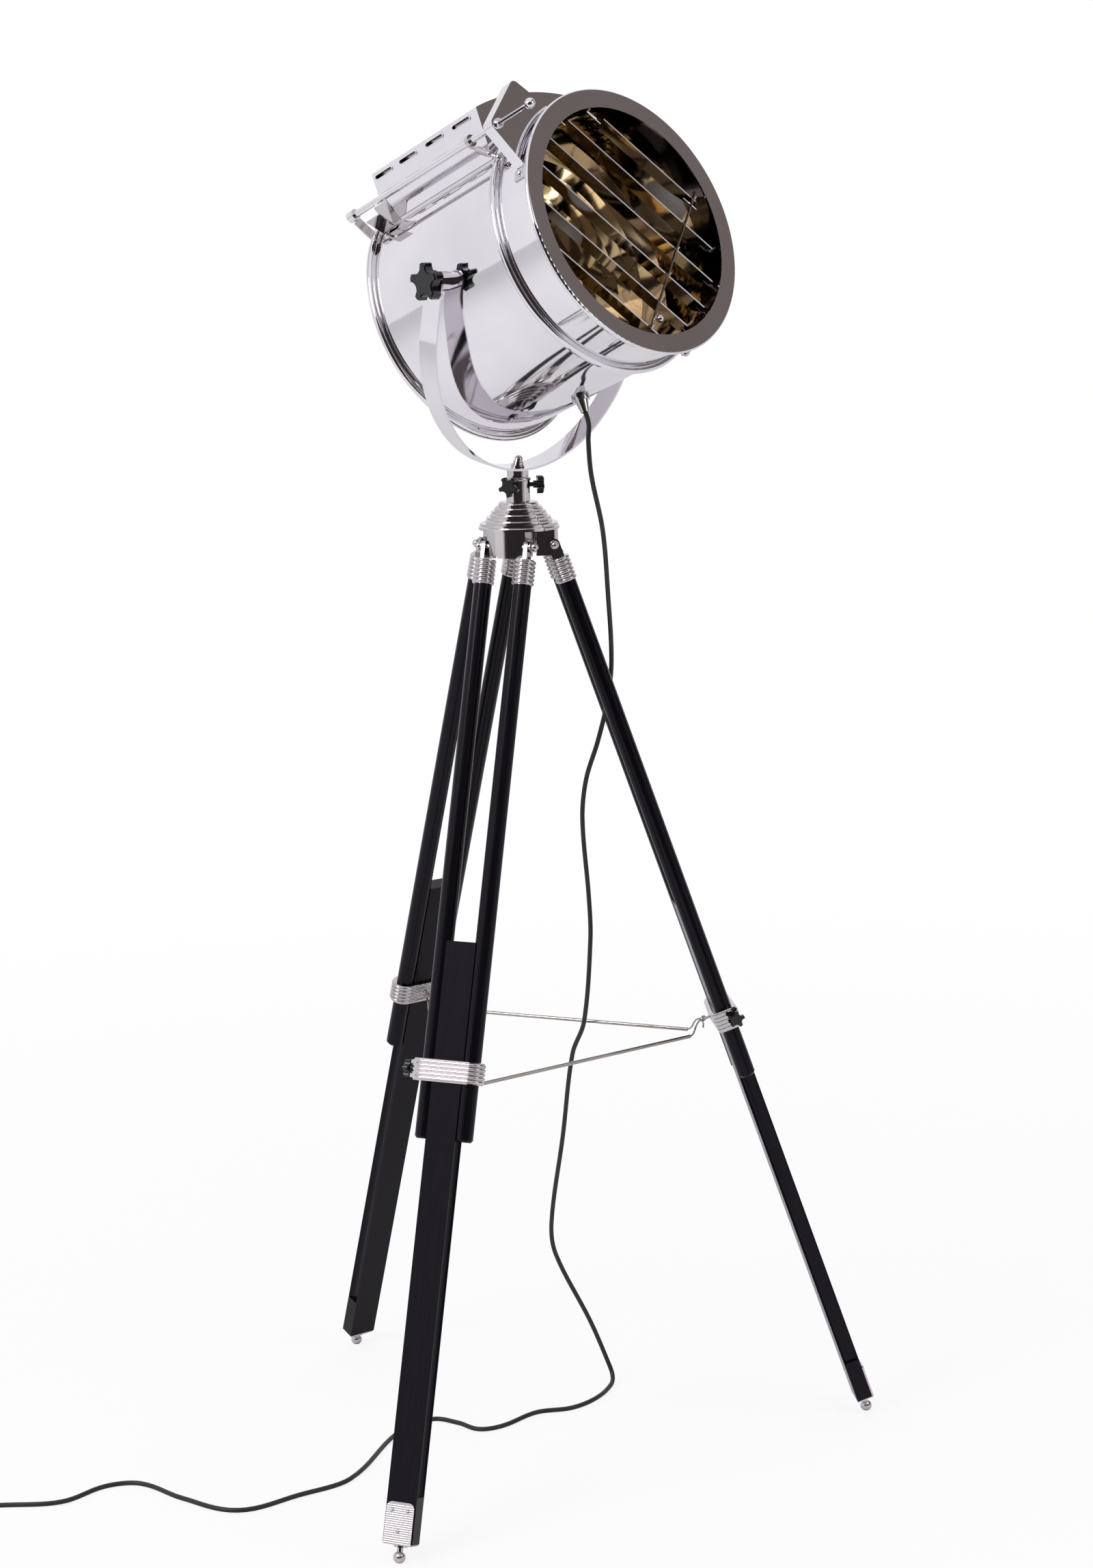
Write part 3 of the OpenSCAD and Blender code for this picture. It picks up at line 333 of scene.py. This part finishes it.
def clamp_beads(leg):
    """Rounded beads over a clamp's ribs: round the U at each height goes an ellipse, whose size
    follows a quarter circle to nothing at both ends, so that each bead closes by itself."""
    line, out = bead_line()
    number = np.arange(BEAD_POINTS)
    near_end = np.clip(np.minimum(number, number[::-1]) / BEAD_TAPER, 0, 1)
    size = np.sqrt(1 - (1 - near_end) ** 2).clip(BEAD_TIP)[:, None]
    angle = 2 * np.pi * np.arange(BEAD_SIDES) / BEAD_SIDES
    up = size * BEAD_HEIGHT * np.sin(angle)
    levels = (np.arange(BEADS) - (BEADS - 1) / 2) * BEAD_PITCH - CLAMP_DOWN
    points = np.empty((BEADS, BEAD_POINTS, BEAD_SIDES, 3))
    points[..., :2] = line[:, None] + out[:, None] * (size * BEAD_DEPTH * np.cos(angle))[..., None]
    points[..., 2] = up + levels[:, None, None]
    mesh = bpy.data.meshes.new("leg_%s_clamp_beads" % leg)
    mesh.from_pydata(leg_place(points.reshape(-1, 3), leg).tolist(), [], bead_faces())
    mesh.polygons.foreach_set("use_smooth", [True] * len(mesh.polygons))
    mesh.materials.append(small_nickel)
    beads = bpy.data.objects.new(mesh.name, mesh)
    scene.collection.objects.link(beads)
    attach(beads, "leg_%s_upper" % leg)


for leg in LEG_TURNS:
    clamp_beads(leg)

# ---------------------------------------------------------------- cord

CORD_DIAMETER = 0.0065
LIE = CORD_DIAMETER / 2 + 0.0002        # height of the cord's middle where it lies on the floor
ROUTE_STEPS = 8                         # stretches of the line between two points of the route
COIL_CENTRE = (-0.781, -0.262)          # from the pan axis
COIL_OUT = 0.044                        # radius where the coil begins
COIL_IN = 0.034                         # radius where it is narrowest
COIL_IN_TURNS = 1.25                    # turns gone at that place
COIL_TURNS = 2.25
COIL_POINTS = 48                        # in one turn
COIL_LAYER = CORD_DIAMETER + 0.00075
CLIMB_TURNS = 0.5                       # over which the cord climbs onto its first layer
PLUG_HEIGHT = 0.0075
PLUG_REACH = 0.084                      # from the coil's end to the plug
TAIL_LEVEL = 0.012                      # how far the tail stays level at the coil and at the plug
TAIL_EASE = 0.0005                      # how far it falls in its first and last steps between

# The route that the imported cord follows, in millimetres from the pan axis
ROUTE = np.array([
    [88, -86, 1443], [90, -88, 1436], [94, -92, 1420], [93, -93, 1399], [96, -86, 1354],
    [110, -64, 1279], [116, -36, 1193], [120, 0, 1096], [114, 12, 1040], [100, 22, 982],
    [83, 32, 927], [77, 42, 870], [84, 64, 754], [85, 70, 694], [74, 86, 572], [57, 103, 521],
    [41, 134, 392], [22, 160, 255], [27, 169, 204], [75, 186, 95], [99, 187, 33],
    [106, 179, 12], [102, 159, 5], [78, 112, 3.45], [43, 79, 3.45], [-6, 66, 3.45],
    [-55, 18, 3.45], [-88, 8, 3.45], [-118, 34, 3.45], [-155, 50, 3.45], [-202, 2, 3.45],
    [-262, -160, 3.45], [-328, -210, 3.45], [-406, -256, 3.45], [-485, -210, 3.45],
    [-547, -156, 3.45], [-593, -162, 3.45], [-647, -212, 3.45], [-725, -218, 3.45],
    [-769, -218, 3.45]]) / 1000


def smooth_line(points, steps):
    """Hermite curve through all points: at each one its direction is that from the point before
    to the point after, and each stretch is bent in proportion to its length."""
    ahead = np.vstack([points[1:], points[-1:]])
    behind = np.vstack([points[:1], points[:-1]])
    dirs = ahead - behind
    dirs /= np.linalg.norm(dirs, axis=1)[:, None]
    a, b = points[:-1, None], points[1:, None]
    length = np.linalg.norm(b - a, axis=2)[..., None]
    t = (np.arange(steps) / steps)[None, :, None]
    line = ((2 * t ** 3 - 3 * t ** 2 + 1) * a
            + (t ** 3 - 2 * t ** 2 + t) * length * dirs[:-1, None]
            + (3 * t ** 2 - 2 * t ** 3) * b
            + (t ** 3 - t ** 2) * length * dirs[1:, None])
    return np.vstack([line.reshape(-1, 3), points[-1:]])


def coil_line():
    """Spiral whose radius falls in proportion to the turns gone and then grows again. Its height
    rises evenly by one layer over half a turn about the change."""
    turn = np.linspace(0, COIL_TURNS, int(COIL_TURNS * COIL_POINTS) + 1)
    radius = COIL_IN + (COIL_OUT - COIL_IN) / COIL_IN_TURNS * np.abs(turn - COIL_IN_TURNS)
    climb = np.clip((turn - COIL_IN_TURNS) / CLIMB_TURNS + 0.5, 0, 1)
    angle = np.pi / 2 + 2 * np.pi * turn
    return np.column_stack([
        COIL_CENTRE[0] + radius * np.cos(angle), COIL_CENTRE[1] + radius * np.sin(angle),
        LIE + COIL_LAYER * climb])


def lay_cord():
    """The cord as one round curve from the gland through its coil and straight to the plug."""
    coil = coil_line()
    end = coil[-1]
    plug = np.array([end[0], end[1] - PLUG_REACH, PLUG_HEIGHT])
    tail = np.array([
        end - [0, TAIL_LEVEL, 0], end - [0, 2 * TAIL_LEVEL, TAIL_EASE],
        plug + [0, 2.5 * TAIL_LEVEL, TAIL_EASE], plug + [0, TAIL_LEVEL, 0], plug])
    line = np.vstack([smooth_line(ROUTE, ROUTE_STEPS), coil, tail]) + AXIS
    data = bpy.data.curves.new("mains_cord", "CURVE")
    data.dimensions = "3D"
    data.bevel_depth = CORD_DIAMETER / 2
    data.bevel_resolution = 4
    data.use_fill_caps = True
    spline = data.splines.new("POLY")
    spline.points.add(len(line) - 1)
    spline.points.foreach_set("co", np.column_stack([line, np.ones(len(line))]).ravel())
    spline.use_smooth = True
    data.materials.append(cord_black)
    cord = bpy.data.objects.new("mains_cord", data)
    scene.collection.objects.link(cord)
    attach(cord, "hub")
    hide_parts("cord", "cord_coil")


lay_cord()

# ---------------------------------------------------------------- studio

FLOOR_REACH = 12            # to the sides and the back
FLOOR_FRONT = -2.4          # in front of this edge, the metal shows the dark room
FLOOR_PAPER = (0.9, 0.9, 0.91)
FLOOR_ROUGH = 0.9
# Share of plain white that the camera sees in the floor, near the lamp and far from it
NEAR, WHITE_NEAR = 0.6, 0.84
FAR, WHITE_FAR = 3.5, 1.0

SKY_WHITE = (0.93, 0.92, 0.95)
ROOM_DARK = (0.035, 0.03, 0.03)
SHADE_DARK = (0.17, 0.145, 0.135)
SOFT_GREY = (0.62, 0.60, 0.64)
# Round patches of the sky: towards where, half angles of the full part and of the edge, colour
SKY_PATCHES = (
    ((-0.25, -1, -0.05), 28, 36, ROOM_DARK),
    ((0.3, -1, 0.0), 24, 32, ROOM_DARK),
    ((0.866, 0.132, 0.48), 26, 36, SHADE_DARK),
    ((0.66, -0.65, 0.38), 16, 34, SHADE_DARK),
    ((-0.9, 0.1, 0.75), 10, 24, SOFT_GREY))

LAMPS_AIM = (0, 0, 0.8)


def stage_floor():
    """A wide pale floor: near the lamp it keeps the shadows, and far away it shows as white."""
    mesh = bpy.data.meshes.new("floor")
    mesh.from_pydata([(-FLOOR_REACH, FLOOR_FRONT, 0), (FLOOR_REACH, FLOOR_FRONT, 0),
                      (FLOOR_REACH, FLOOR_REACH, 0), (-FLOOR_REACH, FLOOR_REACH, 0)], [],
                     [(0, 1, 2, 3)])
    floor = bpy.data.objects.new("floor", mesh)
    scene.collection.objects.link(floor)
    made = bpy.data.materials.new("floor_paper")
    made.use_nodes = True
    tree = made.node_tree
    shader = tree.nodes["Principled BSDF"]
    shader.inputs["Base Color"].default_value = (*FLOOR_PAPER, 1)
    shader.inputs["Roughness"].default_value = FLOOR_ROUGH
    glow = tree.nodes.new("ShaderNodeEmission")
    glow.inputs["Color"].default_value = (1, 1, 1, 1)
    rays = tree.nodes.new("ShaderNodeLightPath")
    away = tree.nodes.new("ShaderNodeVectorMath")
    away.operation = "LENGTH"
    tree.links.new(tree.nodes.new("ShaderNodeTexCoord").outputs["Object"], away.inputs[0])
    part = tree.nodes.new("ShaderNodeMath")
    part.operation = "MULTIPLY"
    spread(tree, away.outputs["Value"], WHITE_NEAR, WHITE_FAR, part.inputs[1], NEAR, FAR)
    mix = tree.nodes.new("ShaderNodeMixShader")
    tree.links.new(rays.outputs["Is Camera Ray"], part.inputs[0])
    tree.links.new(part.outputs[0], mix.inputs["Fac"])
    tree.links.new(shader.outputs["BSDF"], mix.inputs[1])
    tree.links.new(glow.outputs["Emission"], mix.inputs[2])
    tree.links.new(mix.outputs["Shader"], tree.nodes["Material Output"].inputs["Surface"])
    mesh.materials.append(made)


def soft_patch(tree, direction, below, centre, inner, outer, colour):
    """Mixes a round patch of another colour into the sky, soft between two half angles."""
    dot = tree.nodes.new("ShaderNodeVectorMath")
    dot.operation = "DOT_PRODUCT"
    dot.inputs[1].default_value = Vector(centre).normalized()
    tree.links.new(direction, dot.inputs[0])
    edge = tree.nodes.new("ShaderNodeMapRange")
    edge.interpolation_type = "SMOOTHSTEP"
    edge.inputs["From Min"].default_value = math.cos(math.radians(outer))
    edge.inputs["From Max"].default_value = math.cos(math.radians(inner))
    tree.links.new(dot.outputs["Value"], edge.inputs["Value"])
    mix = tree.nodes.new("ShaderNodeMix")
    mix.data_type = "RGBA"
    mix.inputs[7].default_value = (*colour, 1)
    tree.links.new(edge.outputs["Result"], mix.inputs["Factor"])
    tree.links.new(below, mix.inputs[6])
    return mix.outputs[2]


def studio_sky():
    """White studio with darker ground behind the camera and to the right, seen in the metal. The
    camera itself sees plain white."""
    world = bpy.data.worlds.new("studio")
    scene.world = world
    world.use_nodes = True
    tree = world.node_tree
    background = tree.nodes["Background"]
    direction = tree.nodes.new("ShaderNodeTexCoord").outputs["Generated"]
    base = tree.nodes.new("ShaderNodeRGB")
    base.outputs[0].default_value = (*SKY_WHITE, 1)
    sky = base.outputs[0]
    for patch in SKY_PATCHES:
        sky = soft_patch(tree, direction, sky, *patch)
    rays = tree.nodes.new("ShaderNodeLightPath")
    mix = tree.nodes.new("ShaderNodeMix")
    mix.data_type = "RGBA"
    tree.links.new(rays.outputs["Is Camera Ray"], mix.inputs["Factor"])
    tree.links.new(sky, mix.inputs[6])
    mix.inputs[7].default_value = (1, 1, 1, 1)
    tree.links.new(mix.outputs[2], background.inputs["Color"])
    background.inputs["Strength"].default_value = 1.0


def soft_lamp(name, place, size, watts):
    """A large square lamp at a place, turned to face the lamps' aim."""
    data = bpy.data.lights.new(name, "AREA")
    data.size = size
    data.energy = watts
    lamp = bpy.data.objects.new(name, data)
    lamp.location = place
    toward = Vector(LAMPS_AIM) - Vector(place)
    lamp.rotation_euler = toward.to_track_quat("-Z", "Y").to_euler()
    scene.collection.objects.link(lamp)


stage_floor()
studio_sky()
soft_lamp("key_lamp", (-2.6, -2.2, 3.6), size=1.6, watts=60)
soft_lamp("fill_lamp", (3.0, -1.5, 3.0), size=2.0, watts=25)

scene.view_settings.view_transform = "Standard"
